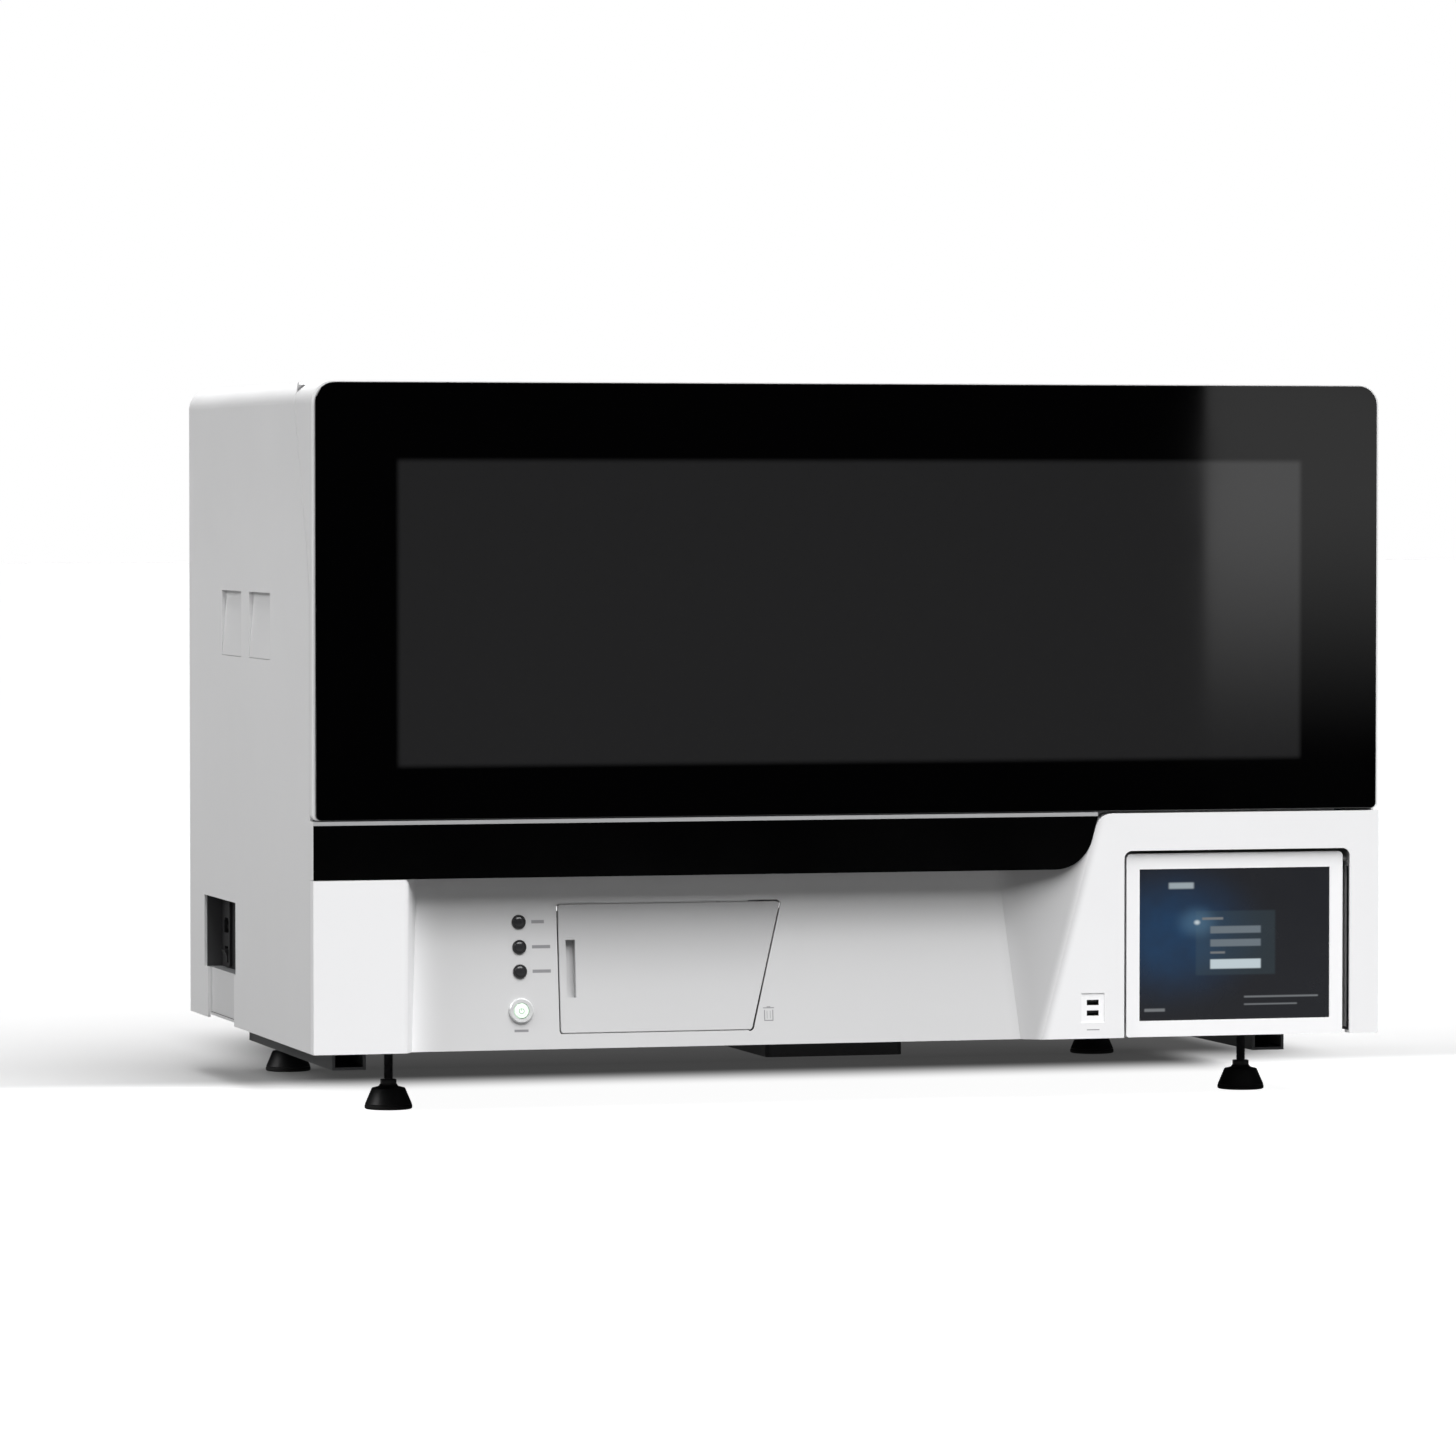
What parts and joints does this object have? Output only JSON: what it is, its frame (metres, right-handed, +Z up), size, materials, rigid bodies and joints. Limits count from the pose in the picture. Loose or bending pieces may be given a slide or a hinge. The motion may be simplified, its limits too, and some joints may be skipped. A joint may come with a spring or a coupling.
{
  "type": "nucleic acid extractor",
  "caption": "Bench-top nucleic acid extraction workstation: glass-fronted chamber with a lifting door, touch screen, waste hatch, pipetting gantry and magnetic rod head on levelling feet.",
  "frame": {"origin": "on the bench under the middle of the instrument, at the level of the foot pads", "axes": "+X to the user's right along the front, +Y towards the back, +Z up"},
  "size_m": [1.16, 0.666, 0.758],
  "materials": {
    "white_paint": "satin powder coat",
    "white_plastic": "fine satin",
    "black_gloss": "gloss",
    "black_glass": "tinted, black printed border",
    "silver": "satin anodised",
    "steel": "brushed",
    "zinc": "zinc plated",
    "frame": "grey paint",
    "black_rubber": "matt",
    "black_plastic": "matt",
    "grey_plastic": "matt",
    "lamp": "smoked",
    "button": "translucent",
    "display": "matt",
    "board": "solder resist",
    "quartz": "clear",
    "aluminium": "milled"
  },
  "bodies": {
    "casing": {"left_side_panel": "white_paint", "right_side_panel": "white_paint", "finger_grips": "white_plastic", "top_cover": "white_paint", "rear_panel": "white_paint", "lower_fascia": "white_plastic", "front_band": "black_gloss", "trim_strip": "silver", "base_plate": "zinc", "base_rails": "zinc", "underside_cover": "zinc", "foot_lock_nuts": "steel", "frame_posts": "frame", "frame_beams": "frame", "work_deck": "steel", "chamber_back_wall": "white_paint", "chamber_side_walls": "white_paint", "chamber_ceiling": "white_paint", "connector_bay": "black_plastic", "power_inlet": "black_plastic", "data_ports": "grey_plastic", "indicator_lamps": "lamp", "power_button_ring": "silver", "usb_ports": "black_plastic", "access_door_hinges": "steel", "waste_bin": "grey_plastic", "screen_bay": "black_plastic", "door_hinge_brackets": "steel", "door_hinge_pins": "steel", "door_seal": "black_rubber", "plate_nests": "aluminium", "nest_guides": "black_plastic", "heater_block": "aluminium", "gantry_beam": "aluminium", "magnet_column": "aluminium", "uv_lamp": "quartz", "power_supply": "zinc", "control_board": "board", "fan_frames": "black_plastic", "exhaust_filter": "white_plastic", "cover_screws": "steel"},
    "door": {"door_frame": "white_paint", "door_glass": "black_glass", "door_hinge_arms": "aluminium"},
    "hatch": {"access_door": "white_plastic"},
    "screen": {"screen_housing": "white_plastic", "display_panel": "display"},
    "power_button": {"power_button": "button"},
    "rocker": {"rocker_switch": "black_plastic"},
    "gantry_x": {"x_carriage": "aluminium"},
    "gantry_y": {"y_carriage": "aluminium"},
    "pipettor": {"pipette_head": "grey_plastic"},
    "magnet_head": {"rod_head": "aluminium"},
    "sleeve_head": {"sleeve_carrier": "aluminium"},
    "fan_left": {"fan_rotor_left": "black_plastic"},
    "fan_right": {"fan_rotor_right": "black_plastic"},
    "foot_front_left": {"foot_front_left": "black_plastic"},
    "foot_front_right": {"foot_front_right": "black_plastic"},
    "foot_rear_left": {"foot_rear_left": "black_plastic"},
    "foot_rear_right": {"foot_rear_right": "black_plastic"}
  },
  "joints": [
    {"name": "door_hinge", "type": "hinge", "parent": "casing", "child": "door", "pos_m": [0, -0.253, 0.746], "axis": [-1, 0, 0], "range_deg": [0, 80]},
    {"name": "hatch_hinge", "type": "hinge", "parent": "casing", "child": "hatch", "pos_m": [-0.14, -0.30185, 0.14911], "axis": [0, 0.1115, 0.9938], "range_deg": [0, 100]},
    {"name": "screen_tilt", "type": "hinge", "parent": "casing", "child": "screen", "pos_m": [0.42, -0.32, 0.2542], "axis": [-1, 0, 0], "range_deg": [0, 30]},
    {"name": "power_button_push", "type": "slide", "parent": "casing", "child": "power_button", "axis": [0, 0.9938, -0.1115], "range_m": [0, 0.0025], "stiffness_N_per_m": 400},
    {"name": "rocker_tip", "type": "hinge", "parent": "casing", "child": "rocker", "pos_m": [-0.556, 0.2, 0.138], "axis": [0, 1, 0], "range_deg": [0, 24]},
    {"name": "gantry_x_slide", "type": "slide", "parent": "casing", "child": "gantry_x", "axis": [1, 0, 0], "range_m": [0, 0.48]},
    {"name": "gantry_y_slide", "type": "slide", "parent": "gantry_x", "child": "gantry_y", "axis": [0, -1, 0], "range_m": [0, 0.19]},
    {"name": "pipettor_slide", "type": "slide", "parent": "gantry_y", "child": "pipettor", "axis": [0, 0, -1], "range_m": [0, 0.09]},
    {"name": "magnet_slide", "type": "slide", "parent": "casing", "child": "magnet_head", "axis": [0, 0, -1], "range_m": [0, 0.09]},
    {"name": "sleeve_slide", "type": "slide", "parent": "casing", "child": "sleeve_head", "axis": [0, 0, -1], "range_m": [0, 0.105]},
    {"name": "fan_left_spin", "type": "hinge", "parent": "casing", "child": "fan_left", "pos_m": [-0.3, 0.32, 0.56], "axis": [0, 1, 0], "continuous": true},
    {"name": "fan_right_spin", "type": "hinge", "parent": "casing", "child": "fan_right", "pos_m": [0.3, 0.32, 0.56], "axis": [0, 1, 0], "continuous": true},
    {"name": "foot_front_left_turn", "type": "hinge", "parent": "casing", "child": "foot_front_left", "pos_m": [-0.472, -0.2012, 0.02], "axis": [0, 0, 1], "continuous": true},
    {"name": "foot_front_right_turn", "type": "hinge", "parent": "casing", "child": "foot_front_right", "pos_m": [0.472, -0.2012, 0.02], "axis": [0, 0, 1], "continuous": true},
    {"name": "foot_rear_left_turn", "type": "hinge", "parent": "casing", "child": "foot_rear_left", "pos_m": [-0.472, 0.3057, 0.02], "axis": [0, 0, 1], "continuous": true},
    {"name": "foot_rear_right_turn", "type": "hinge", "parent": "casing", "child": "foot_rear_right", "pos_m": [0.472, 0.3057, 0.02], "axis": [0, 0, 1], "continuous": true}
  ]
}
